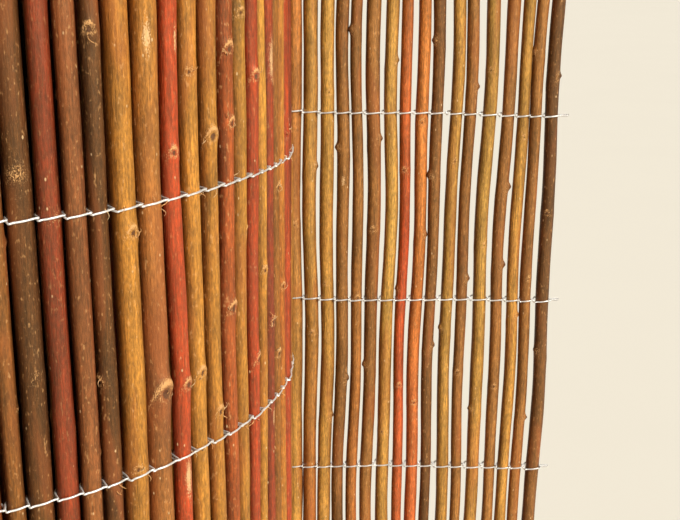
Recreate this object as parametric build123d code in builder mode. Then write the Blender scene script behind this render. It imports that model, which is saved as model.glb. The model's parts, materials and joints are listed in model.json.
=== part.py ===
"""Willow screen, partly unrolled: bark-on willow rods bound side by side by rows of twisted wire.

The screen stands on the ends of its rods. Most of it is still rolled up, and its free end runs out
flat from the back of the roll towards +X. The face that is seen from the front looks along -Y.
"""
import math
import os

from build123d import *

# Screen
screen_height = 1000.0
open_length = 280.0
rolled_length = 2720.0
end_scatter = 5.0

# Roll: a round front and a flatter back, drawn in by one pitch on every turn
roll_half_width = 158.0
roll_front_depth = 158.0
roll_back_depth = 107.5
turn_pitch = 12.5

# Rods
flat_rod_count = 33
taper = 0.2
widest_rod = 9.0
narrowest_rod = 5.6
loosest_gap = 1.9
tightest_gap = 0.8
rolled_gap = 1.0
lean_reach = 1.0
lean_per_rod = 0.35
outer_sides = 8
rolled_sides = 6

# Binding wire
wire_diameter = 1.0
wire_clearance = 0.2
wire_rows = 9
wire_spacing = 100.0
wire_chords_per_turn = 36
roll_standoff = 62.0
wire_end_chords = 2

# Rods that show on the flat end, from its free edge towards the roll: diameter, gap after it, bark
edge_rods = [
    (7.0, 1.9, "brown"), (6.0, 1.0, "brown"), (6.2, 1.7, "ochre"), (6.4, 3.0, "brown"), (7.0, 3.2, "ochre"),
    (6.0, 1.0, "brown"), (6.6, 3.1, "ochre"), (6.0, 1.2, "brown"), (6.6, 1.9, "brown"), (5.8, 1.1, "red"),
    (7.0, 2.2, "ochre"), (7.0, 1.5, "brown"), (6.0, 1.3, "brown"), (6.6, 1.1, "brown"), (7.2, 1.4, "ochre"),
]

# Rods that show on the roll, from the middle of its front to its right side
roll_front_rods = [
    (8.8, 1.0, "ochre"), (9.8, 1.8, "brown"), (7.0, 2.2, "red"), (7.6, 2.2, "ochre"), (7.0, 2.2, "ochre"),
    (7.0, 2.0, "brown"), (7.0, 2.2, "ochre"), (6.6, 2.2, "red"), (6.2, 2.0, "ochre"), (6.0, 2.0, "red"),
    (6.6, 2.0, "brown"), (7.0, 2.0, "ochre"),
]
roll_front_angle = math.radians(305.0)

barks = ("ochre", "brown", "red")
tangent_angle = math.pi / 2
full_turn = 2 * math.pi
bark_angle = full_turn / 96

# The wire on the outside of the roll is a run of chords, lifted so that they clear the rods
chord_angle = full_turn / wire_chords_per_turn
chord_lift = roll_half_width * (1 - math.cos(chord_angle / 2))
wire_reach = wire_clearance + chord_lift + wire_diameter

# The wire stops short of the place where the flat end leaves the roll
wire_end_angle = tangent_angle + (wire_chords_per_turn - wire_end_chords - 1) * chord_angle

# The roll's centre, which puts the middle of the whole screen's foot at the origin
left_reach = roll_half_width - turn_pitch / 4 + wire_reach
front_reach = roll_front_depth - turn_pitch / 2 + wire_reach
back_reach = roll_back_depth + wire_reach
roll_x = (left_reach - open_length) / 2
roll_y = (front_reach - back_reach) / 2
free_edge_x = roll_x + open_length
back_face_y = roll_y + roll_back_depth


def scatter(number, stream):
    """Even, repeatable spread of values from 0 to 1."""
    return (number * 0.61803 + stream * 0.37 + number * number * 0.0173) % 1.0


def roll_axes(angle):
    """Half width and depth of the roll's outer line at an angle that grows along the spiral."""
    inset = turn_pitch * (angle - tangent_angle) / full_turn
    depth = roll_back_depth if math.sin(angle) > 0 else roll_front_depth
    return roll_half_width - inset, depth - inset


def roll_point(angle, inwards):
    """Point at a distance inside the roll's outer line, with the outward direction there."""
    half_width, depth = roll_axes(angle)
    out_x, out_y = math.cos(angle) / half_width, math.sin(angle) / depth
    size = math.hypot(out_x, out_y)
    out_x, out_y = out_x / size, out_y / size
    x = roll_x + half_width * math.cos(angle) - inwards * out_x
    y = roll_y + depth * math.sin(angle) - inwards * out_y
    return (x, y), (out_x, out_y)


def next_angle(angle, diameter, next_diameter, gap):
    """Angle of the next rod on the spiral, at a set gap from the rod before it."""
    here, _ = roll_point(angle, diameter / 2)
    wanted = (diameter + next_diameter) / 2 + gap
    step = wanted / roll_half_width
    for _ in range(4):
        there, _ = roll_point(angle + step, next_diameter / 2)
        step *= wanted / math.dist(here, there)
    return angle + step


def plain_rod(number, bark_place):
    """Diameter, gap after it and bark of a rod that is not picked out by hand."""
    diameter = narrowest_rod + (widest_rod - narrowest_rod) * scatter(number, 1)
    gap = tightest_gap + (loosest_gap - tightest_gap) * scatter(number, 5)
    return diameter, gap, barks[int(len(barks) * scatter(bark_place, 2))]


def plain_rolled_rod(number, angle):
    """A rod of the roll that is not picked out by hand: its bark goes by where on the roll it stands."""
    return plain_rod(number, 3 * int(angle / bark_angle))


def place(number, seat, outward, along, diameter, bark):
    """One rod: the spot where its wire lies, its directions, thickness, bark, lean and ends."""
    return {
        "seat": seat,
        "outward": outward,
        "along": along,
        "diameter": diameter,
        "bark": bark,
        "butt_down": number % 2 == 0,
        "lean": lean_reach * math.sin(lean_per_rod * number),
        "foot": max(0.0, end_scatter * (2 * scatter(number, 3) - 1)),
        "top": screen_height - end_scatter * scatter(number, 4),
    }


def lay_flat_rods():
    """Rods of the flat end, from the free edge to the place where the roll begins."""
    rods = []
    x = free_edge_x
    for number, (diameter, gap, bark) in enumerate(flat_sizes):
        diameter, gap = diameter * flat_share, gap * flat_share
        middle = x - diameter / 2
        if middle > roll_x + roll_standoff:
            seat, outward = (middle, front_face_y), (0, -1)
        else:
            seat, outward = (middle, back_face_y), (0, 1)
        rods.append(place(number, seat, outward, (-1, 0), diameter, bark))
        x -= diameter + gap
    return rods


def lay_rolled_rods():
    """Rods of the outermost turn and of the turns inside it, along the spiral."""
    outer, inner = [], []
    number = flat_rod_count
    diameter, gap, bark = plain_rolled_rod(number, tangent_angle)
    angle = tangent_angle + diameter / 2 / roll_half_width
    travelled = 0.0
    shown = 0
    while travelled < rolled_length:
        outermost = angle < tangent_angle + full_turn
        seat, outward = roll_point(angle, 0)
        along = (-outward[1], outward[0])
        (outer if outermost else inner).append(place(number, seat, outward, along, diameter, bark))
        number += 1
        last_diameter = diameter
        space = gap if angle < wire_end_angle else rolled_gap
        if angle > roll_front_angle and shown < len(roll_front_rods):
            diameter, gap, bark = roll_front_rods[shown]
            shown += 1
        else:
            diameter, gap, bark = plain_rolled_rod(number, angle)
        angle = next_angle(angle, last_diameter, diameter, space)
        travelled += (last_diameter + diameter) / 2 + space
    return outer, inner


def rod_ends(rod):
    """Middle and radius of a rod's two cut ends: its wire side stands upright, its far side tapers."""
    (x, y), (out_x, out_y), (along_x, along_y) = rod["seat"], rod["outward"], rod["along"]
    ends = []
    for z, butt, lean in ((rod["foot"], rod["butt_down"], -0.5), (rod["top"], not rod["butt_down"], 0.5)):
        radius = rod["diameter"] / 2 * (1 + taper / 2 if butt else 1 - taper / 2)
        shift = lean * rod["lean"]
        middle = (x - radius * out_x + shift * along_x, y - radius * out_y + shift * along_y, z)
        ends.append((middle, radius))
    return ends


def rod_solid(rod, sides):
    """A straight tapered rod, leaning a little along the screen, with its ends cut square."""
    (foot, foot_radius), (top, top_radius) = rod_ends(rod)
    axis = Vector(*top) - Vector(*foot)
    slope = math.degrees(math.atan((foot_radius - top_radius) / axis.length))
    with BuildPart() as solid:
        with BuildSketch(Plane(origin=foot, x_dir=(*rod["outward"], 0), z_dir=axis)):
            RegularPolygon(foot_radius, sides, major_radius=False, rotation=90 - 180 / sides)
        extrude(amount=axis.length, taper=slope)
    return solid.part


def outer_wire_line(offset):
    """Corners of a line outside the back of the flat end and once round the roll."""
    line = [(free_edge_x, back_face_y + offset)]
    for chord in range(wire_chords_per_turn - wire_end_chords):
        corner, _ = roll_point(tangent_angle + chord * chord_angle, -chord_lift - offset)
        line.append(corner)
    return line


def write(part, label):
    """Name a finished piece and keep it as a file of its own."""
    part.label = label
    export_step(part, f"parts/{label}.step")


# The rods of the flat end fill its length, and the wires on its two faces clear the thickest of them
flat_sizes = edge_rods + [plain_rod(number, number) for number in range(len(edge_rods), flat_rod_count)]
flat_share = open_length / sum(diameter + gap for diameter, gap, _ in flat_sizes)
mat_thickness = flat_share * widest_rod * (1 + taper / 2) + wire_clearance
front_face_y = back_face_y - mat_thickness

os.makedirs("parts", exist_ok=True)
flat_rods = lay_flat_rods()
outer_rods, inner_rods = lay_rolled_rods()

# Flat end: every rod is a piece of its own
for number, rod in enumerate(flat_rods, start=1):
    write(rod_solid(rod, outer_sides), f"panel_rod_{number:02d}")

# Roll: the rods of one bark share a file, as separate solids
for turn, rods, sides in (("outer_turn", outer_rods, outer_sides), ("inner_turns", inner_rods, rolled_sides)):
    for bark in barks:
        solids = [rod_solid(rod, sides) for rod in rods if rod["bark"] == bark]
        write(Compound(children=solids), f"{turn}_{bark}_rods")

# Binding: each row has a strand on the front of the flat end and one on its back and round the roll
first_row_z = (screen_height - wire_spacing * (wire_rows - 1)) / 2
front_wire_y = front_face_y - wire_clearance - wire_diameter
front_wire_length = open_length - roll_standoff
near_side = outer_wire_line(wire_clearance)
far_side = outer_wire_line(wire_clearance + wire_diameter)
for row in range(wire_rows):
    z = first_row_z + row * wire_spacing - wire_diameter / 2
    with BuildPart() as wire_row:
        with BuildSketch(Plane.XY.offset(z)):
            with BuildLine():
                Polyline(*near_side, *reversed(far_side), close=True)
            make_face()
            with Locations((roll_x + roll_standoff, front_wire_y)):
                Rectangle(front_wire_length, wire_diameter, align=(Align.MIN, Align.MIN))
        extrude(amount=wire_diameter)
    write(wire_row.part, f"wire_row_{row + 1:02d}")
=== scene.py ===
"""Willow screen: dresses the rods and wires of a partly unrolled screen of bark-on willow.

Every rod is rebuilt on the axis and thickness of its solid, with crooks, nodes, buds and bark, and
every row of wire is woven as two strands that change sides between the rods.
"""
import json
import math

import bpy
import numpy as np
from bpy.props import FloatProperty, FloatVectorProperty, IntProperty, PointerProperty
from mathutils import Matrix, Vector


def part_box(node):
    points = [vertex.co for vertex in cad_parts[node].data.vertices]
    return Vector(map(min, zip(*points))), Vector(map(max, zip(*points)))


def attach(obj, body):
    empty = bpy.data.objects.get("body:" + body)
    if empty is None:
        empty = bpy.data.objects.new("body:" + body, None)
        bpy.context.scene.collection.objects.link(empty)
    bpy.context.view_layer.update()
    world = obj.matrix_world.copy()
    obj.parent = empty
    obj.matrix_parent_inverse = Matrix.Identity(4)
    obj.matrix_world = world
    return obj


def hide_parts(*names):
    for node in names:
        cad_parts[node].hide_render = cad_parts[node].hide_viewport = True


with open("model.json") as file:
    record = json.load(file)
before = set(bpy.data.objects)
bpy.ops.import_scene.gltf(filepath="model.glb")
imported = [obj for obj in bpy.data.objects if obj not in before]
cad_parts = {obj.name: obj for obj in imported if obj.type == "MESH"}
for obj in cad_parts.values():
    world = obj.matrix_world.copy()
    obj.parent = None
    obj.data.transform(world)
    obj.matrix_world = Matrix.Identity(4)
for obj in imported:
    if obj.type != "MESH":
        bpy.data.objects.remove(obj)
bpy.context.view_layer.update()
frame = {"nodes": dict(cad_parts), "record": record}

bl_info = {
    "name": "Willow screen",
    "version": (1, 0, 0),
    "blender": (4, 5, 0),
    "location": "3D View > Sidebar > Willow screen",
    "description": "Dresses a partly unrolled willow screen with bark, nodes and woven wire",
    "category": "Object",
}

IMAGE_WIDTH = 680
SENSOR_WIDTH = 36.0
MM = 0.001
FULL_TURN = 2 * math.pi
BAKE_MAP = "OFBake"
BARKS = ("ochre", "brown", "red")

# Seeds of the repeatable spreads, and the range of a wave's start
ROD_SEED = 7000
SHRED_SEED = 31
PHASE_RANGE = 6.28

# Spread among rods: node distances and mark sizes as shares, share of buds, sway of the foot, brightness
NODE_DISTANCES = (0.5, 1.5)
MARK_SIZES = (0.6, 1.1)
BUD_SHARE = 0.35
FOOT_SWAY = 0.3
BRIGHTNESS = (0.88, 1.1)

# Reading the solids: corners this near an end belong to it, and what a step off the heading costs
END_DEPTH = 0.005
SIDESTEP_COST = 1.8

# Rods in one piece of the roll
OUTER_RUN = 9
INNER_RUN = 26

# Heights of the view: its upper row of wire, to which marks on the rods are tied, its foot and its head
VIEW_TOP_ROW = 0.600
VIEW_FOOT = 0.36
VIEW_HEAD = 0.70

# Lean of a rod in view: it grows from the foot of the view to its head and dies away beyond
LEAN_HEIGHTS = (0.2, VIEW_FOOT, VIEW_HEAD, 0.86)
LEAN_SHARES = (0, -1, 1, 0)

# Waves that neighbouring rods share: share of the drift, radians a metre, radians from rod to rod
DRIFT_WAVES = ((1.0, 24, 0.42), (0.6, 53, -0.55))
DRIFT_FADE = 0.1

# Share of the gap beside a rod that its crooks may take
ROOM_SHARE = 1 / 3

# Marks: reach of a node round the rod in radians and arch of its swelling; and how sharply the painted shade
# on the sides that face other rods sets in
NODE_REACH = 0.95
SWELL_ARCH = 0.05
SIDE_SHADE_SHARPNESS = 3

# Uneven girth in two layers: share of the radius, waves round the rod, radians a metre along it
GIRTH_WAVES = (((0.018, 2, 9), (0.012, 3, -23)), ((0.018, 0, 57), (0.014, 2, 173)))

# Rings of a rod: their places round a mark, in mm, and the least distances between them
SEEN_MARK_RINGS = np.arange(-6.3, 6.4, 0.7)
PLAIN_MARK_RINGS = np.array((-4.0, -0.8, 0.8, 4.0))
MARK_MARGIN = 0.01
LEAST_STEP = 0.0004
TOP_STEP = 0.0005

# Cut ends: rim and core as shares of the radius, the bark's rounded edge, and the marks of bare wood
RIM_SHARE = 0.93
CORE_SHARE = 0.25
EDGE_ROUNDING = 0.0003
BARE_WOOD = (0.0, 0.0, 1.0, 0.0)

# Strands: waves of a row's height as shares and radians a rod, steps and turns of the twisted tail, room
# round a strand and a rod, shape of a crossing, and steps past a rod and sides, in view and elsewhere
ROW_WAVES = ((1.0, 0.11), (0.4, 0.47))
TAIL_STEPS = 16
TAIL_TURNS = 3
TWIST_ROOM = 1.05
WRAP_ROOM = 1.1
WRAP_ROUNDNESS = 0.55
CROSSING_SHARPNESS = 7
SEEN_STRAND = (12, 8)
PLAIN_STRAND = (6, 6)

# Shreds: most of them at a tear, steps and sides of one, its turn from the tear in radians, and, in mm,
# its thickness from root to tip, its length and its distance from the tear along the rod
MOST_SHREDS = 3
SHRED_STEPS = 7
SHRED_SIDES = 5
SHRED_TURN = 0.9
SHRED_GIRTH = (0.20, 0.07)
SHRED_LENGTH = (1.6, 4.2)
SHRED_SCATTER = 3

# Edges sharper than this stay sharp
SHARP_EDGE = math.radians(55)

# Stage
FLOOR_HALF = 60.0
FLOOR_DROP = 0.0005
LAMP_DISTANCE = 3.0
CLIP_START = 0.01

# Bake map: a rod's usual girth, margins of a strip, and place and size of the disc of a cut end
ROD_GIRTH = 0.023
STRIP_SIDE = 0.04
STRIP_FOOT = 0.03
DISC_PLACE = (0.1, 0.001)
DISC_SIZE = (0.06, 0.012)
DISC_HEAD = 0.985
DISC_RIM = 0.9

# Rods of the flat end that show, from its free edge towards the roll. Each has its bark at the top,
# middle and foot of the view, how far it leans to the right at the top, in mm, and its marks: kind,
# distance below the top row in mm, turn to the right in radians, and size.
EDGE_LOOKS = [
    (("dark_brown", "dark_brown", "umber"), 0.0, [
        ("bud", -18, 0.9, 0.8), ("node", 52, -0.3, 0.7), ("bud", 130, -1.2, 0.8)
    ]),
    (("brown", "umber", "brown"), 1.0, [
        ("bud", -30, -1.2, 0.9), ("node", 88, 0.4, 0.7), ("bud", 170, 1.1, 0.8)
    ]),
    (("olive", "ochre", "ochre"), 1.2, [
        ("node", 12, 0.2, 0.6), ("bud", 110, 1.2, 0.7)
    ]),
    (("brown", "umber", "brown"), 1.2, [
        ("bud", 40, 1.3, 1.0), ("bud", 82, 1.2, 1.0), ("node", 150, 0.0, 0.7)
    ]),
    (("olive", "olive", "ochre"), 0.6, [
        ("node", -22, -0.3, 0.6), ("node", 70, 0.5, 0.6), ("bud", 165, -1.1, 0.8)
    ]),
    (("brown", "umber", "brown"), 0.2, [
        ("bud", -12, 1.2, 0.8), ("bud", 90, 1.2, 0.9), ("node", 142, -0.2, 0.7)
    ]),
    (("ochre", "olive", "ochre"), 0.5, [
        ("node", 25, 0.3, 0.6), ("bud", 118, -1.2, 0.8)
    ]),
    (("dark_brown", "umber", "dark_brown"), 0.2, [
        ("bud", -35, -1.1, 0.9), ("bud", 34, -1.2, 1.0), ("bud", 128, 1.2, 0.8)
    ]),
    (("orange", "orange", "scarlet"), 0.2, [
        ("node", 5, 0.0, 0.7), ("bud", 66, 1.2, 0.8), ("node", 160, 0.3, 0.7)
    ]),
    (("orange", "red", "scarlet"), -0.4, [
        ("node", 30, -0.2, 0.7), ("bud", 96, -1.2, 0.7), ("node", 150, 0.2, 0.7)
    ]),
    (("ochre", "yellow", "ochre"), 0.0, [
        ("bud", -25, 1.2, 0.8), ("node", 74, 0.2, 0.6), ("node", 178, -0.3, 0.6)
    ]),
    (("brown", "umber", "brown"), -0.2, [
        ("bud", 15, 1.2, 0.9), ("node", 62, -0.2, 0.7), ("bud", 140, -1.2, 0.9)
    ]),
    (("umber", "brown", "orange"), 0.0, [
        ("bud", -40, -1.2, 1.0), ("node", 100, 0.2, 0.8)
    ]),
    (("umber", "brown", "umber"), 0.6, [
        ("scar", 36, 0.1, 0.6), ("bud", 20, -1.2, 1.0), ("bud", 148, 1.2, 0.9)
    ]),
    (("yellow", "ochre", "ochre"), 0.5, [
        ("node", -10, 0.3, 0.6), ("node", 92, -0.2, 0.6), ("bud", 170, 1.2, 0.8)
    ]),
    (("ochre", "ochre", "orange"), 0.3, [
        ("bud", 30, 1.2, 0.9), ("node", 120, 0.1, 0.7)
    ]),
    (("orange", "brown", "ochre"), 0.2, [
        ("node", 60, 0.2, 0.7)
    ]),
]

# Rods that show on the roll, from the left edge of the view to the roll's right side
ROLL_LOOKS = [
    (("ochre", "ochre", "brown"), 0.0, [
        ("node", 8, 0.1, 1.0), ("node", 96, -0.4, 0.7)
    ]),
    (("ochre", "plum", "ochre"), 0.6, [
        ("scar", -57, -0.3, 0.9), ("node", 70, 0.2, 1.9)
    ]),
    (("red", "red", "red"), 0.4, [
        ("node", -75, 0.0, 1.0), ("scar", -55, 0.4, 0.7), ("node", -17, -0.1, 0.8), ("node", 70, 0.3, 1.0),
        ("scar", 108, 0.2, 1.2)
    ]),
    (("ochre", "ochre", "olive"), 0.4, [
        ("node", -44, -0.5, 0.6), ("node", 68, 0.0, 1.0)
    ]),
    (("ochre", "ochre", "ochre"), 0.2, [
        ("node", -20, -0.2, 1.2), ("node", 87, 0.1, 1.0)
    ]),
    (("rust", "rust", "rust"), 0.2, [
        ("node", -50, -0.2, 1.0), ("node", -23, 0.1, 0.9), ("node", 48, 0.1, 1.2)
    ]),
    (("olive", "ochre", "olive"), 1.0, [
        ("node", 20, 0.5, 0.7), ("node", -62, -0.3, 0.7)
    ]),
    (("red", "red", "red"), 1.6, [
        ("node", -38, -0.2, 1.0), ("node", 75, 0.2, 1.0)
    ]),
    (("yellow", "ochre", "yellow"), 1.2, [
        ("node", 40, -0.3, 0.7)
    ]),
    (("red", "maroon", "red"), 1.0, [
        ("scar", -42, -0.1, 1.3), ("node", 65, 0.0, 0.9), ("scar", 108, 0.0, 0.6)
    ]),
    (("brown", "brown", "brown"), 0.8, [
        ("node", 10, 0.1, 0.9), ("node", 82, -0.2, 0.8)
    ]),
    (("yellow", "orange", "yellow"), 0.6, [
        ("node", 55, -0.4, 0.7)
    ]),
]

# Barks that turn up among the other rods of each kind
OTHER_LOOKS = {
    "ochre": ("ochre", "olive", "yellow", "ochre"),
    "brown": ("brown", "umber", "dark_brown", "plum"),
    "red": ("red", "rust", "maroon", "orange"),
}


def colour(name, description, default):
    """A colour that a user may change."""
    return FloatVectorProperty(
        name=name, description=description, subtype="COLOR", size=3, min=0.0, max=1.0, default=default
    )


def length(name, description, default, low=0.0, high=0.3):
    """A length that a user may change."""
    return FloatProperty(
        name=name, description=description, default=default, min=low, max=high, unit="LENGTH"
    )


def factor(name, description, default, high=1.0):
    """A share that a user may change."""
    return FloatProperty(
        name=name, description=description, default=default, min=0.0, max=high, subtype="FACTOR"
    )


def strength(name, description, default):
    """The strength of a light or a glow that a user may change."""
    return FloatProperty(name=name, description=description, default=default, min=0.0)


def degrees(name, description, default):
    """An angle that a user may change, with its default in degrees."""
    return FloatProperty(name=name, description=description, subtype="ANGLE", default=math.radians(default))


def side_count(name, description, default):
    """The number of sides of a rod, which a user may change."""
    return IntProperty(name=name, description=description, default=default, min=6)


class WillowBarkSettings(bpy.types.PropertyGroup):
    """Colours of the barks and of the marks on them, and of the painted shade on the bark"""

    ochre: colour("Ochre", "Bark of the common yellow-brown rods", (0.55, 0.265, 0.050))
    olive: colour("Olive", "Greener yellow-brown bark", (0.42, 0.225, 0.045))
    yellow: colour("Yellow", "Palest bark", (0.66, 0.36, 0.075))
    brown: colour("Brown", "Warm brown bark", (0.36, 0.150, 0.034))
    umber: colour("Umber", "Cooler brown bark", (0.26, 0.105, 0.026))
    dark_brown: colour("Dark brown", "Darkest bark", (0.125, 0.048, 0.013))
    plum: colour("Plum", "Purple-brown bark", (0.25, 0.090, 0.036))
    red: colour("Red", "Bright red bark", (0.52, 0.062, 0.013))
    rust: colour("Rust", "Red-brown bark", (0.38, 0.090, 0.022))
    maroon: colour("Maroon", "Dark red bark", (0.27, 0.036, 0.011))
    orange: colour("Orange", "Orange bark", (0.54, 0.175, 0.034))
    scarlet: colour("Scarlet", "Orange-red bark", (0.60, 0.125, 0.030))
    roll_depth: colour("Roll depth", "Deepens the bark on the outside of the roll", (0.86, 0.74, 0.52))
    # Painted shade: darkens the bark of the rods inside the roll, where shade falls
    core_shade: colour("Core depth", "Deepens the bark inside the roll", (0.55, 0.42, 0.30))
    # Painted shade: darkens the bark on the sides that face other rods, where shade falls between them
    side_shade: colour("Sheltered sides", "Deepens the bark that faces other rods", (0.42, 0.27, 0.15))
    sheen: colour("Sheen", "Tint of the satin shine", (1.0, 0.80, 0.52))
    ring: colour("Node ring", "Fibres round a node", (0.70, 0.37, 0.14))
    eye: colour("Node eye", "Dark middle of a node", (0.075, 0.020, 0.009))
    wood: colour("Bare wood", "Scars and cut ends", (0.70, 0.47, 0.24))


class WillowRodSettings(bpy.types.PropertyGroup):
    """Shape of the rods between their two ends"""

    crook: length("Crook", "How far a rod wanders along the screen, where there is room", 0.0015, high=0.003)
    drift: length("Drift", "How far neighbouring rods on the right wander together", 0.0007, high=0.003)
    bow: length("Bow", "How far a rod wanders across the screen", 0.0006, high=0.002)
    node_spacing: length("Node spacing", "Usual distance from one node to the next", 0.085, low=0.03)
    node_swell: factor("Node swell", "Thickening at a node, as a share of the radius", 0.10, high=0.4)
    roll_marks: factor("Marks on the roll", "Size of the marks on the roll's thicker rods", 1.25, high=2.0)
    bud_height: length("Bud height", "How far a side bud or its stub stands out", 0.0016, high=0.004)
    near_sides: side_count("Near sides", "Sides of a rod seen on the roll", 34)
    far_sides: side_count("Far sides", "Sides of a rod seen on the flat end", 22)
    plain_sides: side_count("Other sides", "Sides of the other outer rods", 10)
    inner_sides: side_count("Inner sides", "Sides of a rod inside the roll", 8)
    seen_step: length("Step in view", "Distance between rings in the view", 0.0025, low=0.001)
    plain_step: length("Other step", "Distance between rings elsewhere", 0.03, low=0.005)


class WillowWireSettings(bpy.types.PropertyGroup):
    """The woven wire"""

    diameter: length("Diameter", "Thickness of one strand", 0.0008, low=0.0005, high=0.003)
    rise: length("Rise", "How far the strands part up and down between two rods", 0.00045, high=0.003)
    wander: length("Wander", "How far a row strays from its height", 0.0012, high=0.01)
    tail: length("Tail", "Length of the twisted end at the free edge", 0.005, high=0.05)
    tightness: factor("Tightness", "How near the seen face the strands cross, as a share of the radius", 0.7)
    metal: colour("Zinc", "Bright galvanised wire", (0.93, 0.92, 0.89))


class WillowStageSettings(bpy.types.PropertyGroup):
    """Camera, floor and light"""

    camera_place: FloatVectorProperty(
        name="Camera", description="Place of the camera", size=3, subtype="TRANSLATION", unit="LENGTH",
        default=(0.1163, -0.4654, 0.6951),
    )
    focal_pixels: FloatProperty(name="Focal length", description="In pixels of the picture", default=1152.0)
    yaw: degrees("Yaw", "Turn to the right", -0.94)
    pitch: degrees("Pitch", "Tilt downwards", 16.60)
    roll: degrees("Roll", "Turn about the view", 0.46)
    floor: colour("Floor", "Plain pale floor", (0.80, 0.755, 0.655))
    floor_glow: strength("Floor glow", "Paleness of the floor to the camera", 0.16)
    backdrop: colour("Backdrop", "Colour behind the floor's far edge", (0.90, 0.82, 0.68))
    sky: colour("Surround", "Light from all round", (1.0, 0.98, 0.94))
    sky_strength: strength("Surround strength", "Light from all round", 0.07)
    key_strength: strength("Key strength", "Soft wide light from the right front", 4.6)
    key_azimuth: degrees("Key azimuth", "Turn of the key to the right of the front", 44)
    key_elevation: degrees("Key elevation", "Height of the key", 27)
    key_tint: colour("Key tint", "Colour of the key", (1.0, 0.955, 0.87))
    back_strength: strength("Back strength", "Soft light from behind", 1.2)
    back_azimuth: degrees("Back azimuth", "Turn of the back light", 195)
    back_elevation: degrees("Back elevation", "Height of the back light", 35)
    back_tint: colour("Back tint", "Colour of the back light", (1.0, 0.98, 0.95))
    fill_strength: strength("Fill strength", "Faint light from the left", 0.12)
    fill_azimuth: degrees("Fill azimuth", "Turn of the fill", -50)
    fill_elevation: degrees("Fill elevation", "Height of the fill", 20)
    fill_tint: colour("Fill tint", "Colour of the fill", (0.94, 0.97, 1.0))
    lamp_angle: degrees("Softness", "Width of the lights as seen from the screen", 20)


class Rod:
    """One rod: the axis and thickness of its solid, its neighbours' direction and how it is dressed."""

    def __init__(self, node, foot, top, foot_radius, top_radius):
        self.node = node
        self.foot = foot
        self.top = top
        self.foot_radius = foot_radius
        self.top_radius = top_radius
        self.along = np.array((-1.0, 0.0))
        self.room = 0.0
        self.number = 0
        self.seen = False
        self.outside = False
        self.looks = None

    def middle(self):
        """Place of the rod on the floor plan."""
        return (self.foot[:2] + self.top[:2]) / 2

    def dress(self, number, settings):
        """Settle the rod's nodes and crooks once its place in the row is known."""
        self.number = number
        self.spread = np.random.default_rng(ROD_SEED + number)
        low, high = self.foot[2], self.top[2]
        heights = [low]
        while heights[-1] < high:
            heights.append(heights[-1] + settings.node_spacing * self.spread.uniform(*NODE_DISTANCES))
        self.knots = np.array(heights)
        reach = (min(settings.crook, self.room), settings.bow)
        self.sway = self.spread.uniform(-1, 1, (len(heights), 2)) * reach
        self.drift = settings.drift * min(1.0, max(0.0, self.middle()[0] / DRIFT_FADE))
        self.sway[0] *= FOOT_SWAY
        self.marks = []
        for height in heights[1:-1]:
            kind = "bud" if self.spread.random() < BUD_SHARE else "node"
            turn = self.spread.uniform(-math.pi, math.pi)
            size = self.spread.uniform(*MARK_SIZES)
            if not (self.looks and VIEW_FOOT < height < VIEW_HEAD):
                self.marks.append((kind, height, turn, size))
        if self.looks:
            self.stops, self.lean, marks = self.looks
            growth = settings.roll_marks if self.outside else 1.0
            for kind, drop, turn, size in marks:
                self.marks.append((kind, VIEW_TOP_ROW - drop * MM, turn, size * growth))
        else:
            choice = OTHER_LOOKS[record_bark(self.node)]
            first = choice[int(self.spread.integers(len(choice)))]
            last = choice[int(self.spread.integers(len(choice)))]
            self.stops, self.lean = (first, first, last), 0.0

    def inward(self):
        """Direction, on the floor plan, from the outside of the roll inwards."""
        return np.array((-self.along[1], self.along[0]))

    def facing(self):
        """Direction, on the floor plan, that the side in view looks to: outwards on the roll."""
        return -self.inward() if self.outside else self.inward()

    def around(self, turn):
        """Direction, on the floor plan, at a turn to the right from the side in view."""
        facing = self.facing()
        right = np.array((-facing[1], facing[0]))
        turn = np.asarray(turn)[..., None]
        return np.cos(turn) * facing + np.sin(turn) * right

    def radius(self, heights):
        """Plain thickness of the rod at some heights."""
        share = (heights - self.foot[2]) / (self.top[2] - self.foot[2])
        return self.foot_radius + (self.top_radius - self.foot_radius) * share

    def axis(self, heights):
        """Middle of the crooked rod at some heights."""
        share = ((heights - self.foot[2]) / (self.top[2] - self.foot[2]))[:, None]
        line = self.foot + (self.top - self.foot) * share
        lean = np.interp(heights, LEAN_HEIGHTS, LEAN_SHARES) * self.lean * MM
        to_right = lean if self.outside else -lean
        waves = sum(part * np.sin(wave * heights + step * self.number) for part, wave, step in DRIFT_WAVES)
        by_along = np.interp(heights, self.knots, self.sway[:, 0]) + self.drift * waves + to_right
        by_inward = np.interp(heights, self.knots, self.sway[:, 1])
        line[:, :2] += by_along[:, None] * self.along + by_inward[:, None] * self.inward()
        return line


def record_bark(node):
    """Bark of a node's rods, from the record's material slot."""
    for part in frame["record"]["subparts"]:
        if part["node"] == node:
            return part["material_slot"].removesuffix("_bark")
    raise RuntimeError(f"the record has no node {node}")


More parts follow.
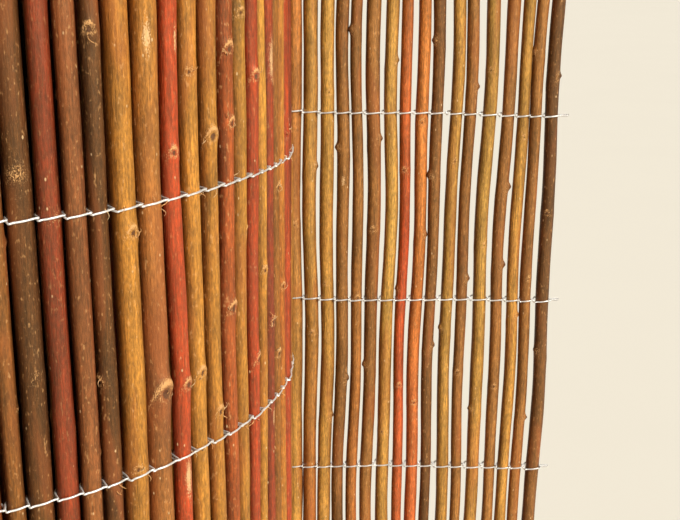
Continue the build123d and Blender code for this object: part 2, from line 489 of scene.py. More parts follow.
def node_rods(node):
    """The rods of a solid node, each with its two ends read from its own corners."""
    mesh = frame["nodes"][node].data
    corners = np.empty(len(mesh.vertices) * 3)
    mesh.vertices.foreach_get("co", corners)
    points, place = np.unique(np.round(corners.reshape(-1, 3), 5), axis=0, return_inverse=True)
    place = place.ravel()
    owner = list(range(len(points)))

    def root(item):
        while owner[item] != item:
            owner[item] = owner[owner[item]]
            item = owner[item]
        return item

    for face in mesh.polygons:
        first = root(place[face.vertices[0]])
        for corner in face.vertices[1:]:
            owner[root(place[corner])] = first
    groups = {}
    for item in range(len(points)):
        groups.setdefault(root(item), []).append(item)
    rods = []
    for members in groups.values():
        own = points[members]
        near_foot = own[:, 2] < own[:, 2].min() + END_DEPTH
        near_top = own[:, 2] > own[:, 2].max() - END_DEPTH
        ends = []
        for ring in (own[near_foot], own[near_top]):
            centre = ring.mean(0)
            reach = np.linalg.norm(ring - centre, axis=1).mean()
            ends.append((centre, reach * math.cos(math.pi / len(ring))))
        (foot, foot_radius), (top, top_radius) = ends
        rods.append(Rod(node, foot, top, foot_radius, top_radius))
    return rods


def gap(rod, other):
    """Distance between the sides of two straight rods, half way up."""
    girths = rod.foot_radius + rod.top_radius + other.foot_radius + other.top_radius
    return max(0.0, np.linalg.norm(rod.middle() - other.middle()) - girths / 2)


def in_order(rods):
    """The rods as they follow each other from the free edge of the screen into the roll."""
    waiting = list(rods)
    row = [max(waiting, key=lambda rod: rod.middle()[0])]
    waiting.remove(row[0])
    heading = np.array((-1.0, 0.0))
    while waiting:
        here = row[-1].middle()

        def effort(rod):
            step = rod.middle() - here
            distance = np.linalg.norm(step)
            return distance * (SIDESTEP_COST - step @ heading / distance)

        chosen = min(waiting, key=effort)
        step = chosen.middle() - here
        heading = step / np.linalg.norm(step)
        waiting.remove(chosen)
        row.append(chosen)
    for number, rod in enumerate(row):
        before, after = row[max(number - 1, 0)], row[min(number + 1, len(row) - 1)]
        step = after.middle() - before.middle()
        rod.along = step / np.linalg.norm(step)
        rod.room = min(gap(rod, other) for other in (before, after) if other is not rod) * ROOM_SHARE
    return row


def read_screen():
    """All rods in order, with the ones in view given their looks."""
    rods = []
    for node in sorted(frame["nodes"]):
        if not node.startswith("wire_row"):
            rods.extend(node_rods(node))
    row = in_order(rods)
    outer = [rod for rod in row if rod.node.startswith("outer_turn")]
    thickest = max(outer, key=lambda rod: rod.foot_radius + rod.top_radius)
    first_on_roll = row.index(thickest) - 1
    for number, looks in enumerate(EDGE_LOOKS):
        row[number].looks = looks
        row[number].seen = True
    for number, looks in enumerate(ROLL_LOOKS):
        row[first_on_roll + number].looks = looks
        row[first_on_roll + number].seen = True
    for extra in (-1, len(ROLL_LOOKS)):
        row[first_on_roll + extra].seen = True
    settings = bpy.context.scene.willow_rods
    for number, rod in enumerate(row):
        rod.outside = "turn" in rod.node
        rod.dress(number, settings)
    return row


def ring_heights(rod, step):
    """Heights of a rod's rings: close together in the view and round its marks, far apart elsewhere."""
    settings = bpy.context.scene.willow_rods
    low, high = rod.foot[2], rod.top[2]
    heights = list(np.arange(low, high, step))
    if rod.seen:
        heights += list(np.arange(VIEW_FOOT, VIEW_HEAD, settings.seen_step))
    if not rod.node.startswith("inner"):
        for _, height, _, _ in rod.marks:
            in_view = rod.seen and VIEW_FOOT < height < VIEW_HEAD
            spots = SEEN_MARK_RINGS if in_view else PLAIN_MARK_RINGS
            if low + MARK_MARGIN < height < high - MARK_MARGIN:
                heights += list(height + spots * MM)
    heights = np.unique(np.round(heights, 5))
    heights = heights[np.concatenate(([True], np.diff(heights) > LEAST_STEP))]
    return np.append(heights[heights < high - TOP_STEP], high)


def bell(*offsets):
    """A soft spot: one in its middle, with each offset measured in the spot's widths."""
    return np.exp(-sum(offset ** 2 for offset in offsets))


def scar_mark(across, rise, size):
    """Bare wood where bark is torn off: how far it lifts the surface, and its strength."""
    width, height, depth = 1.1 * size, 5.5 * size, 0.35 * MM * size
    spot = bell(across / width, rise / height)
    return -depth * spot, spot


def bud_mark(across, rise, near, swell, size, plain):
    """A side bud or its stub: how far it lifts the surface, its ring and its dark tip."""
    settings = bpy.context.scene.willow_rods
    width, height, middle = 1.2 * size, 1.7 * size, 1.0
    stub = bell(across / width, (rise - middle) / height)
    lift = settings.bud_height * size * stub + 0.4 * settings.node_swell * plain * swell
    return lift, 0.5 * swell * near * np.clip(1 - stub, 0, 1), 0.95 * stub


def node_mark(across, rise, near, swell, size, plain):
    """A leaf scar: a fold arched over a dark hollow, with a faint band below, on a swelling."""
    settings = bpy.context.scene.willow_rods
    fold_rise, fold_arch, fold_thickness, fold_width = 1.7 * size, 0.55 / size, 0.75 * size, 2.6 * size
    fold = bell((rise - fold_rise + fold_arch * across ** 2) / fold_thickness, across / fold_width)
    band_drop, band_height = 1.6, 0.6 * size + 0.3
    band = bell((rise + band_drop) / band_height)
    hollow_drop, hollow_width, hollow_height = 0.5, 0.8 * size, 1.1 * size
    hollow = bell(across / hollow_width, (rise + hollow_drop) / hollow_height)
    halo_width, halo_height = 1.6 * size, 1.7 * size
    halo = bell(across / halo_width, rise / halo_height)
    lift = settings.node_swell * size * plain * swell * (0.4 + 0.6 * near)
    lift += size * MM * (0.40 * fold - 0.55 * hollow)
    return lift, np.maximum(fold, 0.5 * np.maximum(band * near, halo)), hollow


def marked_surface(rod, z, turn):
    """Radius of a rod at every point, with its marks, and how strong their rings, eyes and scars are."""
    radius = rod.radius(z)
    plain = radius.mean()
    phases = iter(rod.spread.uniform(0, PHASE_RANGE, 4))
    for layer in GIRTH_WAVES:
        waves = [part * np.sin(laps * turn + wave * z + next(phases)) for part, laps, wave in layer]
        radius *= 1 + sum(waves)
    ring, eye, scar = np.zeros_like(z), np.zeros_like(z), np.zeros_like(z)
    for kind, height, place, size in rod.marks:
        apart = (turn - place + math.pi) % FULL_TURN - math.pi
        across, rise = apart * plain / MM, (z - height) / MM
        if kind == "scar":
            lift, torn = scar_mark(across, rise, size)
            scar = np.maximum(scar, torn)
        else:
            near = bell(apart / NODE_REACH)
            swell = bell((rise + SWELL_ARCH * across ** 2) / (3.0 * size + 1))
            shape = bud_mark if kind == "bud" else node_mark
            lift, fibres, dark = shape(across, rise, near, swell, size, plain)
            ring = np.maximum(ring, fibres)
            eye = np.maximum(eye, dark)
        radius += lift
    return radius, np.stack([ring, eye, scar, np.ones_like(z)], -1)


def bark_tint(rod, z, turn):
    """Colour of a rod's bark at every point: its stops along the view, with painted shade on the sides that
    face other rods and on the rods inside the roll, and a deeper tone on the outside of the roll.
    """
    palette = bpy.context.scene.willow_bark
    stops = np.array([getattr(palette, name) for name in rod.stops])
    heights = (VIEW_FOOT, (VIEW_FOOT + VIEW_HEAD) / 2, VIEW_HEAD)
    tint = np.stack([np.interp(z, heights, stops[::-1, band]) for band in range(3)], -1)
    tint *= rod.spread.uniform(*BRIGHTNESS)
    # Painted shade on the sides of a rod that face its neighbours
    side_shade_share = (np.abs(np.sin(turn)) ** SIDE_SHADE_SHARPNESS)[..., None]
    tint *= 1 - side_shade_share * (1 - np.array(palette.side_shade))
    if rod.outside:
        # Painted shade on the rods inside the roll; a deeper tone on the outside of the roll
        tint *= palette.core_shade if rod.node.startswith("inner") else palette.roll_depth
    return np.concatenate([tint, np.ones(z.shape + (1,))], -1)


def rod_surface(rod, sides, step):
    """Points of a rod as rings of corners, with its bark colour and its marks at every point."""
    heights = ring_heights(rod, step)
    turns = np.linspace(0, FULL_TURN, sides, endpoint=False)
    z, turn = np.meshgrid(heights, turns, indexing="ij")
    radius, marks = marked_surface(rod, z, turn)
    points = np.empty(z.shape + (3,))
    points[..., :2] = rod.axis(heights)[:, None, :2] + radius[..., None] * rod.around(turn)
    points[..., 2] = z
    return points, bark_tint(rod, z, turn), marks


def cut_end(grid, ring, sign):
    """Rim and core of a rod's cut end: the bark's edge beside them is rounded off."""
    centre = grid[ring].mean(0)
    rim = centre + (grid[ring] - centre) * RIM_SHARE
    core = centre + (grid[ring] - centre) * CORE_SHARE
    rim[:, 2] = core[:, 2] = grid[ring][:, 2]
    grid[ring][:, 2] -= sign * EDGE_ROUNDING
    return rim, core


def wall_faces(rings, count, start):
    """Faces between a number of rings of corners."""
    lap = np.arange(count)
    after = (lap + 1) % count
    lower = start + np.arange(rings - 1)[:, None] * count
    quads = np.stack([lower + lap, lower + after, lower + count + after, lower + count + lap], -1)
    return quads.reshape(-1, 4).tolist()


def wall_map(grid, place, cuts, columns):
    """Places of a rod's wall on the bake map: its stretches lie side by side as strips."""
    count = grid.shape[1]
    lap = np.arange(count)
    span = grid[:, 0, 2] - grid[0, 0, 2]
    span = span / span[-1]
    middles = (span[:-1] + span[1:]) / 2
    cut = np.minimum((middles * cuts).astype(int), cuts - 1)
    left = (place * cuts + cut)[:, None] + STRIP_SIDE
    width, height = 1 - 2 * STRIP_SIDE, 1 - 2 * STRIP_FOOT
    u_low = (left + width * lap / count) / columns
    u_high = (left + width * (lap + 1) / count) / columns
    v_low, v_high = (
        np.broadcast_to((STRIP_FOOT + height * (edge * cuts - cut))[:, None], u_low.shape)
        for edge in (span[:-1], span[1:])
    )
    corner_u = np.stack([u_low, u_high, u_high, u_low], -1)
    corner_v = np.stack([v_low, v_low, v_high, v_high], -1)
    return np.stack([corner_u, corner_v], -1).reshape(-1, 2)


def end_faces(edge, rings, count, sign):
    """Faces of a cut end: from the bark over the rim to the core, and the core itself."""
    faces = []
    for ring in rings:
        for here in range(count):
            after = (here + 1) % count
            faces.append((edge + here, ring + here, ring + after, edge + after)[::-sign])
        edge = ring
    faces.append(tuple(range(edge, edge + count))[::sign])
    return faces


def end_map(column, columns, count, sign):
    """Places of a cut end on the bake map: a small disc at the end of its strip."""
    base = np.array(((column + DISC_PLACE[0]) / columns, DISC_PLACE[1] + (DISC_HEAD if sign > 0 else 0.0)))
    size = np.array((DISC_SIZE[0] / columns, DISC_SIZE[1]))
    spin = FULL_TURN * np.arange(count) / count
    circle = np.stack([np.cos(spin), np.sin(spin)], -1) / 2
    bark, rim, core = (base + size * (circle * reach + 0.5) for reach in (1.0, DISC_RIM, CORE_SHARE))
    places = []
    for far, near in ((bark, rim), (rim, core)):
        corners = np.stack([far, near, np.roll(near, -1, 0), np.roll(far, -1, 0)], 1)
        places.append(corners[:, ::-sign].reshape(-1, 2))
    return np.concatenate([*places, core[::sign]])


def rod_mesh(rods, sides, step):
    """One mesh of several rods, with cut ends, colours, marks and a map with a strip for each stretch."""
    settings = bpy.context.scene.willow_rods
    points, colours, marks, faces, strips = [], [], [], [], []
    start = 0
    cuts = max(1, round(math.sqrt(1.0 / (len(rods) * ROD_GIRTH))))
    columns = len(rods) * cuts
    for place, rod in enumerate(rods):
        count = sides
        if rod.seen:
            count = settings.near_sides if rod.outside else settings.far_sides
        grid, tint, spots = rod_surface(rod, count, step)
        ends = [(ring, sign, cut_end(grid, ring, sign)) for ring, sign in ((0, -1), (len(grid) - 1, 1))]
        points.append(grid.reshape(-1, 3))
        colours.append(tint.reshape(-1, 4))
        marks.append(spots.reshape(-1, 4))
        faces.extend(wall_faces(len(grid), count, start))
        strips.append(wall_map(grid, place, cuts, columns))
        free = start + len(grid) * count
        for ring, sign, inner_rings in ends:
            faces.extend(end_faces(start + ring * count, (free, free + count), count, sign))
            strips.append(end_map(place * cuts + (cuts - 1 if sign > 0 else 0), columns, count, sign))
            for inner in inner_rings:
                points.append(inner)
                colours.append(tint[ring])
                marks.append(np.tile(BARE_WOOD, (count, 1)))
                free += count
        start = free
    return tuple(np.concatenate(part) for part in (points, colours, marks, strips)) + (faces,)


def new_piece(name, points, faces, material, nodes):
    """A piece of the screen that stands for solid nodes and rides with them."""
    mesh = bpy.data.meshes.new(name)
    mesh.from_pydata(points.tolist(), [], faces)
    mesh.validate()
    mesh.shade_smooth()
    mesh.set_sharp_from_angle(angle=SHARP_EDGE)
    mesh.materials.append(material)
    piece = bpy.data.objects.new(name, mesh)
    bpy.context.scene.collection.objects.link(piece)
    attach(piece, "root")
    if nodes:
        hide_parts(*nodes)
    return piece


def rod_piece(name, rods, sides, step):
    """A piece of several rods of one bark."""
    bark = record_bark(rods[0].node)
    points, colours, marks, strips, faces = rod_mesh(rods, sides, step)
    material = bark_material(bark)
    nodes = sorted({rod.node for rod in rods})
    piece = new_piece(name, points, faces, material, nodes)
    for label, values in (("bark", colours), ("marks", marks)):
        layer = piece.data.attributes.new(label, "FLOAT_COLOR", "POINT")
        layer.data.foreach_set("color", values.astype(np.float32).ravel())
    bake_map = piece.data.uv_layers.new(name=BAKE_MAP)
    bake_map.uv.foreach_set("vector", strips.astype(np.float32).ravel())
    return piece


def feed(tree, socket, source):
    """Give a socket its source: the output of another node, a colour or a number."""
    if isinstance(source, bpy.types.NodeSocket):
        tree.links.new(source, socket)
    elif socket.type == "RGBA":
        socket.default_value = (*source, 1.0)
    else:
        socket.default_value = source


def shader(tree, kind, **values):
    """A shader node with its settings and the sources of its sockets."""
    made = tree.nodes.new(kind)
    for key, value in values.items():
        if key in made.inputs:
            feed(tree, made.inputs[key], value)
        else:
            setattr(made, key, value)
    return made


def ramp(tree, source, low, high, first=0.0, last=1.0):
    """A soft step of a value from low to high."""
    limits = {"From Min": low, "From Max": high, "To Min": first, "To Max": last}
    step = shader(tree, "ShaderNodeMapRange", interpolation_type="SMOOTHSTEP", Value=source, **limits)
    return step.outputs["Result"]


def blend_colour(tree, share, first, second):
    """Two colours blended by a share: each is a socket or a plain value."""
    mix = shader(tree, "ShaderNodeMix", data_type="RGBA", clamp_factor=True)
    for place, source in ((0, share), (6, first), (7, second)):
        feed(tree, mix.inputs[place], source)
    return mix.outputs[2]


def calculate(tree, operation, first, second):
    """One sum of two values: each is a socket or a number."""
    sum_node = shader(tree, "ShaderNodeMath", operation=operation)
    feed(tree, sum_node.inputs[0], first)
    feed(tree, sum_node.inputs[1], second)
    return sum_node.outputs[0]


def grain(tree, place, across, along, detail=4.0, rough=0.6, warp=0.0):
    """Noise drawn out along the rods: across and along are in waves a metre."""
    stretch = shader(tree, "ShaderNodeMapping", Vector=place, Scale=(across, across, along))
    waves = {"Scale": 1.0, "Detail": detail, "Roughness": rough, "Distortion": warp}
    return shader(tree, "ShaderNodeTexNoise", Vector=stretch.outputs["Vector"], **waves).outputs["Fac"]


def pale_specks(tree, place):
    """Scattered pale dots, about half a millimetre wide and a little longer."""
    stretch = shader(tree, "ShaderNodeMapping", Vector=place, Scale=(1.0, 1.0, 0.55))
    cells = shader(tree, "ShaderNodeTexVoronoi", Vector=stretch.outputs["Vector"], Scale=380.0)
    pick = shader(tree, "ShaderNodeSeparateColor", Color=cells.outputs["Color"])
    chosen = ramp(tree, pick.outputs["Red"], 0.72, 0.95, 0.0, 0.8)
    dot = ramp(tree, cells.outputs["Distance"], 0.17, 0.07)
    return calculate(tree, "MULTIPLY", dot, chosen)


def bumps(tree, relief, strength, depth):
    """Normal of a surface with a relief."""
    bump = shader(tree, "ShaderNodeBump", Height=relief, Strength=strength, Distance=depth)
    return bump.outputs["Normal"]


def fresh_material(name):
    """A new node material without nodes, apart from its place socket."""
    material = bpy.data.materials.new(name)
    material.use_nodes = True
    tree = material.node_tree
    tree.nodes.clear()
    return material, tree, shader(tree, "ShaderNodeTexCoord").outputs["Object"]


def finish_material(tree, looks):
    """The surface of a node material, with its looks by the names of their sockets."""
    surface = shader(tree, "ShaderNodeBsdfPrincipled", **looks)
    shader(tree, "ShaderNodeOutputMaterial", Surface=surface.outputs["BSDF"])


def bark_material(bark):
    """Satin bark: fine long grain, blotches, pale specks, nodes with dark eyes, scars and cut wood."""
    name = f"willow_{bark}_bark"
    if name in bpy.data.materials:
        return bpy.data.materials[name]
    palette = bpy.context.scene.willow_bark
    material, tree, place = fresh_material(name)
    tint = shader(tree, "ShaderNodeAttribute", attribute_name="bark").outputs["Color"]
    spots = shader(tree, "ShaderNodeAttribute", attribute_name="marks").outputs["Color"]
    marks = shader(tree, "ShaderNodeSeparateColor", Color=spots).outputs

    # Patterns of the bark
    long_grain = grain(tree, place, 1500, 42, detail=6.0, rough=0.65)
    fine_grain = grain(tree, place, 3600, 260, detail=3.0, rough=0.6)
    blotches = grain(tree, place, 170, 34, detail=3.0, rough=0.55, warp=0.4)
    flecks = grain(tree, place, 900, 420, detail=2.0, rough=0.5)
    fibres = grain(tree, place, 2600, 1500, detail=3.0, rough=0.7)
    patches = grain(tree, place, 75, 13, detail=2.0, warp=0.6)
    shade = ramp(tree, long_grain, 0.25, 0.75, 0.66, 1.26)
    blotch = ramp(tree, blotches, 0.28, 0.72, 0.72, 1.2)
    mottle = ramp(tree, grain(tree, place, 1400, 330, detail=4.0, rough=0.7), 0.3, 0.7, 0.62, 1.38)
    level = calculate(tree, "MULTIPLY", calculate(tree, "MULTIPLY", shade, blotch), mottle)
    specks = pale_specks(tree, place)

    # Marks, with ragged edges
    torn = ramp(tree, fibres, 0.3, 0.7, -0.5, 0.4)
    ring = ramp(tree, calculate(tree, "ADD", marks["Red"], torn), 0.32, 0.62, 0.0, 0.88)
    half_torn = calculate(tree, "MULTIPLY", torn, 0.5)
    eye = ramp(tree, calculate(tree, "ADD", marks["Green"], half_torn), 0.35, 0.6, 0.0, 0.9)
    scar = ramp(tree, calculate(tree, "ADD", marks["Blue"], torn), 0.42, 0.62)
    grained_wood = blend_colour(tree, ramp(tree, fine_grain, 0.35, 0.7), palette.wood, palette.ring)

    # Layers of colour, one over the other
    red = bark == "red"
    toned = shader(tree, "ShaderNodeVectorMath", operation="SCALE", Scale=level)
    feed(tree, toned.inputs[0], tint)
    base = toned.outputs["Vector"]
    for share, layer in (
        (ramp(tree, fine_grain, 0.56, 0.72, 0.0, 0.42), palette.umber),
        (ramp(tree, patches, 0.5, 0.72, 0.0, 0.42), palette.maroon if red else palette.rust),
        (ramp(tree, flecks, 0.60, 0.74, 0.0, 0.22 if red else 0.4), palette.ring),
        (ramp(tree, flecks, 0.36, 0.27, 0.0, 0.4), palette.dark_brown),
        (specks, palette.wood),
        (ring, palette.ring),
        (scar, grained_wood),
        (eye, palette.eye),
    ):
        base = blend_colour(tree, share, base, layer)

    # Shine and relief
    gloss = ramp(tree, long_grain, 0.3, 0.7, 0.33 if red else 0.40, 0.45 if red else 0.58)
    relief = long_grain
    for layer, height in ((fine_grain, 0.6), (mottle, 0.5), (specks, 0.5), (ring, 0.6)):
        relief = calculate(tree, "ADD", relief, calculate(tree, "MULTIPLY", layer, height))
    finish_material(tree, {
        "Base Color": base,
        "Roughness": calculate(tree, "ADD", gloss, calculate(tree, "MULTIPLY", ring, 0.2)),
        "Specular IOR Level": 1.0 if red else 0.7,
        "Specular Tint": palette.sheen,
        "Normal": bumps(tree, relief, 0.6, 0.0003),
    })
    return material


def wire_material():
    """Bright galvanised wire with a faint spangle and duller patches."""
    settings = bpy.context.scene.willow_wire
    material, tree, place = fresh_material("willow_galvanised_wire")
    spangle = grain(tree, place, 900, 900, detail=3.0)
    worn = ramp(tree, grain(tree, place, 60, 60, detail=2.0), 0.35, 0.7, 0.0, 0.7)
    dull = tuple(0.7 * channel for channel in settings.metal)
    finish_material(tree, {
        "Base Color": blend_colour(tree, worn, settings.metal, dull),
        "Roughness": ramp(tree, spangle, 0.3, 0.7, 0.28, 0.5),
        "Metallic": 0.5,
        "Normal": bumps(tree, spangle, 0.3, 0.00008),
    })
    return material


def row_heights():
    """Height of every row of wire, by its node, from the lowest."""
    heights = {}
    for node in sorted(frame["nodes"]):
        if node.startswith("wire_row"):
            low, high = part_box(node)
            heights[node] = (low.z + high.z) / 2
    return heights


def tail_path(edge, along, height, strand):
    """Middle line of a strand's twisted end, from its tip to the free edge of the screen."""
    settings = bpy.context.scene.willow_wire
    path = []
    for step in range(TAIL_STEPS, 0, -1):
        share = step / TAIL_STEPS
        spin = math.pi * strand + FULL_TURN * TAIL_TURNS * share
        out = edge - along * settings.tail * share
        twist = np.array((0.0, math.cos(spin), math.sin(spin))) * settings.diameter / 2 * TWIST_ROOM
        path.append(np.array((*out, height)) + twist)
    return path


def strand_path(rods, height, strand, steps):
    """Middle line of one strand of a row: past each rod in turn, before one and behind the next."""
    settings = bpy.context.scene.willow_wire
    half = settings.diameter / 2
    phases = np.random.default_rng(int(height * 1000)).uniform(0, PHASE_RANGE, 2)
    place = np.arange(len(rods))
    waves = [share * np.sin(wave * place + phase) for (share, wave), phase in zip(ROW_WAVES, phases)]
    level = height + settings.wander * sum(waves)
    middles = [rod.axis(level[n:n + 1])[0, :2] for n, rod in enumerate(rods)]
    radii = [float(rod.radius(level[n])) for n, rod in enumerate(rods)]
    path = []
    if settings.tail > 0:
        edge = middles[0] - rods[0].along * (radii[0] + half)
        path = tail_path(edge, rods[0].along, level[0], strand)
    for number, rod in enumerate(rods):
        side = 1 if (number + strand) % 2 == 0 else -1
        seen_side = -1 if rod.outside else 1
        reaches = []
        for other in (number - 1, number + 1):
            if 0 <= other < len(rods):
                apart = np.linalg.norm(middles[other] - middles[number])
                reaches.append((apart + radii[number] - radii[other]) / 2)
            else:
                reaches.append(radii[number] + half)
        for step in range(steps):
            swing = -math.pi / 2 + math.pi * (step + 0.5) / steps
            reach = reaches[0] if swing < 0 else reaches[1]
            depth = side * (radii[number] + half * WRAP_ROOM) * math.cos(swing) ** WRAP_ROUNDNESS
            drawn = abs(math.sin(swing)) ** CROSSING_SHARPNESS
            depth += seen_side * settings.tightness * radii[number] * drawn
            spot = middles[number] + rod.along * reach * math.sin(swing) + rod.inward() * depth
            path.append(np.array((*spot, level[number] - side * settings.rise * math.sin(swing))))
    return np.array(path)


def tube(path, radius, sides):
    """Points and faces of a round tube along a path, with closed ends: its radius may change on the way."""
    ahead = np.gradient(path, axis=0)
    ahead /= np.linalg.norm(ahead, axis=1)[:, None]
    across = np.cross(ahead, (0.0, 0.0, 1.0))
    across /= np.linalg.norm(across, axis=1)[:, None]
    up = np.cross(across, ahead)
    spin = np.linspace(0, FULL_TURN, sides, endpoint=False)
    ring = np.cos(spin)[None, :, None] * across[:, None] + np.sin(spin)[None, :, None] * up[:, None]
    points = (path[:, None] + np.reshape(radius, (-1, 1, 1)) * ring).reshape(-1, 3)
    faces = [[a, d, c, b] for a, b, c, d in wall_faces(len(path), sides, 0)]
    first_ring = list(range(sides))
    last_ring = list(range(len(points) - sides, len(points)))
    return points, [*faces, first_ring, last_ring[::-1]]


def joined(parts):
    """Points and faces of several meshes as those of one."""
    points, faces = [], []
    start = 0
    for own, own_faces in parts:
        points.append(own)
        faces.extend([[corner + start for corner in face] for face in own_faces])
        start += len(own)
    return np.concatenate(points), faces


def shred_path(rod, height, turn, spread):
    """Middle line of one shred of bark that has come loose from a rod and curls away from it."""
    start = rod.axis(np.array([height]))[0]
    reach = spread.uniform(*SHRED_LENGTH) * MM
    upwards = spread.choice((-1.0, 1.0)) * spread.uniform(0.5, 1.0)
    sideways = spread.uniform(-0.8, 0.8)
    share = np.linspace(0, 1, SHRED_STEPS)
    root_depth, curl, curl_turn, bend_power = 0.97, 0.55, 2.2, 1.6
    lift = float(rod.radius(height)) * root_depth + reach * curl * np.sin(share * curl_turn)
    bend = reach * sideways * share ** bend_power
    path = np.empty((SHRED_STEPS, 3))
    out, aside = rod.around(turn), rod.around(turn + math.pi / 2)
    path[:, :2] = start[:2] + lift[:, None] * out + bend[:, None] * aside
    path[:, 2] = height + reach * upwards * share
    return path


def torn_spots(rod):
    """Places in view where a rod's bark is torn: height and turn, at the wires and then at its nodes."""
    torn = [(height, 0.0) for height in row_heights().values()]
    torn += [(height, turn) for kind, height, turn, _ in rod.marks if kind == "node"]
    return [(height, turn) for height, turn in torn if VIEW_FOOT < height < VIEW_HEAD]


def dress_roll(turn, run_length, sides, step):
    """Dress the rods of the roll's outer or inner turns, in runs of one bark."""
    for bark in BARKS:
        rods = [rod for rod in SCREEN if rod.node.startswith(turn) and rod.node.endswith(f"_{bark}_rods")]
        for start in range(0, len(rods), run_length):
            name = f"{turn}_{bark}_rods_{start // run_length + 1:02d}"
            rod_piece(name, rods[start:start + run_length], sides, step)


class WILLOW_OT_flat_end(bpy.types.Operator):
    """Dress the rods of the flat end, each as a piece of its own"""

    bl_idname = "willow.flat_end"
    bl_label = "Flat end"

    def execute(self, context):
        settings = context.scene.willow_rods
        for rod in SCREEN:
            if not rod.outside:
                rod_piece(f"{rod.node}_bark", [rod], settings.plain_sides, settings.plain_step)
        return {"FINISHED"}


class WILLOW_OT_outer_turn(bpy.types.Operator):
    """Dress the rods on the outside of the roll, in runs of one bark"""

    bl_idname = "willow.outer_turn"
    bl_label = "Outer turn"

    def execute(self, context):
        settings = context.scene.willow_rods
        dress_roll("outer", OUTER_RUN, settings.plain_sides, settings.plain_step)
        return {"FINISHED"}


class WILLOW_OT_inner_turns(bpy.types.Operator):
    """Dress the rods inside the roll, which show at its ends and in its core"""

    bl_idname = "willow.inner_turns"
    bl_label = "Inner turns"

    def execute(self, context):
        settings = context.scene.willow_rods
        dress_roll("inner", INNER_RUN, settings.inner_sides, 2 * settings.plain_step)
        return {"FINISHED"}


class WILLOW_OT_wires(bpy.types.Operator):
    """Weave every row of wire through the flat end and the outside of the roll"""

    bl_idname = "willow.wires"
    bl_label = "Wires"

    def execute(self, context):
        radius = context.scene.willow_wire.diameter / 2
        rods = [rod for rod in SCREEN if not rod.node.startswith("inner")]
        metal = wire_material()
        for node, height in row_heights().items():
            steps, sides = SEEN_STRAND if VIEW_FOOT < height < VIEW_HEAD else PLAIN_STRAND
            paths = [strand_path(rods, height, strand, steps) for strand in (0, 1)]
            points, faces = joined([tube(path, radius, sides) for path in paths])
            new_piece(f"{node}_strands", points, faces, metal, [node])
        return {"FINISHED"}


class WILLOW_OT_shreds(bpy.types.Operator):
    """Add the loose shreds of bark where wires and nodes have torn it"""

    bl_idname = "willow.shreds"
    bl_label = "Bark shreds"

    def execute(self, context):
        palette = context.scene.willow_bark
        spread = np.random.default_rng(SHRED_SEED)
        girth = np.linspace(*SHRED_GIRTH, SHRED_STEPS) * MM
        parts, colours = [], []
        for rod in SCREEN:
            if not (rod.seen and rod.outside):
                continue
            for height, turn in torn_spots(rod):
                for _ in range(int(spread.integers(0, MOST_SHREDS + 1))):
                    place = turn + spread.uniform(-SHRED_TURN, SHRED_TURN)
                    level = height + spread.uniform(-SHRED_SCATTER, SHRED_SCATTER) * MM
                    parts.append(tube(shred_path(rod, level, place, spread), girth, SHRED_SIDES))
                    tint = palette.wood if spread.random() < 0.5 else palette.ring
                    colours.append(np.tile((*tint, 1.0), (SHRED_STEPS * SHRED_SIDES, 1)))
        points, faces = joined(parts)
        piece = new_piece("bark_shreds", points, faces, bark_material("ochre"), [])
        layer = piece.data.attributes.new("bark", "FLOAT_COLOR", "POINT")
        layer.data.foreach_set("color", np.concatenate(colours).astype(np.float32).ravel())
        return {"FINISHED"}


class WILLOW_OT_stage(bpy.types.Operator):
    """Set the floor, the light and the camera"""

    bl_idname = "willow.stage"
    bl_label = "Stage"

    def execute(self, context):
        scene = context.scene
        settings = scene.willow_stage
        scene.view_settings.view_transform = "Standard"
        make_floor(settings)
        make_light(settings)
        make_camera(settings)
        return {"FINISHED"}


def make_floor(settings):
    """A wide plain floor in a pale, faintly mottled finish."""
    material, tree, place = fresh_material("studio_floor")
    mottle = grain(tree, place, 3, 3, detail=2.0)
    darker = tuple(0.97 * channel for channel in settings.floor)
    seen = shader(tree, "ShaderNodeLightPath").outputs["Is Camera Ray"]
    finish_material(tree, {
        "Base Color": blend_colour(tree, mottle, settings.floor, darker),
        "Roughness": 0.9,
        "Emission Color": settings.floor,
        "Emission Strength": calculate(tree, "MULTIPLY", seen, settings.floor_glow),
    })
    corners = [(x * FLOOR_HALF, y * FLOOR_HALF, 0) for x, y in ((-1, -1), (1, -1), (1, 1), (-1, 1))]
    mesh = bpy.data.meshes.new("studio_floor")
    mesh.from_pydata(corners, [], [(0, 1, 2, 3)])
    mesh.materials.append(material)
    floor = bpy.data.objects.new("studio_floor", mesh)
    floor.location.z = -FLOOR_DROP
    bpy.context.scene.collection.objects.link(floor)


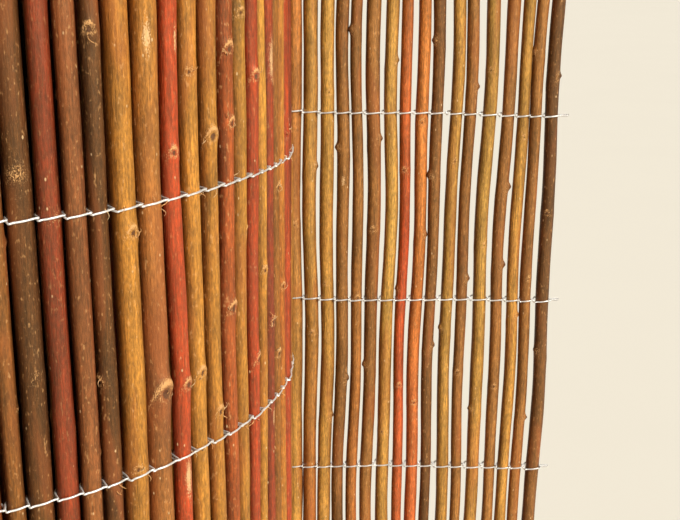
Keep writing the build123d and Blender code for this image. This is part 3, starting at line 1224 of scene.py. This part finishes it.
def make_light(settings):
    """Pale surround, a wide soft key from the right front, and weaker lights from behind and the left."""
    world = bpy.data.worlds.new("studio_surround")
    bpy.context.scene.world = world
    world.use_nodes = True
    tree = world.node_tree
    tree.nodes.clear()
    path = shader(tree, "ShaderNodeLightPath").outputs
    seen = calculate(tree, "MAXIMUM", path["Is Camera Ray"], path["Is Transmission Ray"])
    lit = shader(tree, "ShaderNodeBackground", Color=settings.sky, Strength=settings.sky_strength)
    shown = shader(tree, "ShaderNodeBackground", Color=settings.backdrop, Strength=1.0)
    mix = shader(tree, "ShaderNodeMixShader")
    for place, source in enumerate((seen, lit.outputs[0], shown.outputs[0])):
        feed(tree, mix.inputs[place], source)
    shader(tree, "ShaderNodeOutputWorld", Surface=mix.outputs[0])
    for name in ("key", "back", "fill"):
        turn, height = getattr(settings, f"{name}_azimuth"), getattr(settings, f"{name}_elevation")
        lamp = bpy.data.lights.new(name, "SUN")
        lamp.energy = getattr(settings, f"{name}_strength")
        lamp.angle = settings.lamp_angle
        lamp.color = getattr(settings, f"{name}_tint")
        level = math.cos(height)
        source = Vector((math.sin(turn) * level, -math.cos(turn) * level, math.sin(height)))
        holder = bpy.data.objects.new(name, lamp)
        holder.location = LAMP_DISTANCE * source
        holder.rotation_euler = source.to_track_quat("Z", "Y").to_euler()
        bpy.context.scene.collection.objects.link(holder)


def make_camera(settings):
    """The camera at the photograph's height, distance and tilt."""
    ahead = Vector((
        math.sin(settings.yaw) * math.cos(settings.pitch),
        math.cos(settings.yaw) * math.cos(settings.pitch),
        -math.sin(settings.pitch),
    ))
    level = Vector((math.cos(settings.yaw), -math.sin(settings.yaw), 0.0))
    above = level.cross(ahead)
    right = math.cos(settings.roll) * level + math.sin(settings.roll) * above
    up = math.cos(settings.roll) * above - math.sin(settings.roll) * level
    data = bpy.data.cameras.new("camera")
    data.sensor_width = SENSOR_WIDTH
    data.lens = SENSOR_WIDTH * settings.focal_pixels / IMAGE_WIDTH
    data.clip_start = CLIP_START
    camera = bpy.data.objects.new("camera", data)
    turn = Matrix((right, up, -ahead)).transposed()
    camera.matrix_world = Matrix.Translation(settings.camera_place) @ turn.to_4x4()
    bpy.context.scene.collection.objects.link(camera)
    bpy.context.scene.camera = camera


class WILLOW_PT_sidebar(bpy.types.Panel):
    """Lists the steps that dress the screen"""

    bl_idname = "WILLOW_PT_sidebar"
    bl_label = "Willow screen"
    bl_space_type = "VIEW_3D"
    bl_region_type = "UI"
    bl_category = "Willow screen"

    def draw(self, context):
        for operator in OPERATORS:
            self.layout.operator(operator.bl_idname)


SETTINGS = {
    "willow_bark": WillowBarkSettings,
    "willow_rods": WillowRodSettings,
    "willow_wire": WillowWireSettings,
    "willow_stage": WillowStageSettings,
}
OPERATORS = (
    WILLOW_OT_flat_end,
    WILLOW_OT_outer_turn,
    WILLOW_OT_inner_turns,
    WILLOW_OT_wires,
    WILLOW_OT_shreds,
    WILLOW_OT_stage,
)
SCREEN = []


def register():
    """Register the settings, the operators and the panel."""
    for name, group in SETTINGS.items():
        bpy.utils.register_class(group)
        setattr(bpy.types.Scene, name, PointerProperty(type=group))
    for operator in OPERATORS:
        bpy.utils.register_class(operator)
    bpy.utils.register_class(WILLOW_PT_sidebar)


def unregister():
    """Take the panel, the operators and the settings out again."""
    bpy.utils.unregister_class(WILLOW_PT_sidebar)
    for operator in reversed(OPERATORS):
        bpy.utils.unregister_class(operator)
    for name, group in SETTINGS.items():
        delattr(bpy.types.Scene, name)
        bpy.utils.unregister_class(group)


def main():
    """Dress the whole screen."""
    register()
    SCREEN.extend(read_screen())
    bpy.ops.willow.flat_end()
    bpy.ops.willow.outer_turn()
    bpy.ops.willow.inner_turns()
    bpy.ops.willow.wires()
    bpy.ops.willow.shreds()
    bpy.ops.willow.stage()


if __name__ == "__main__":
    main()
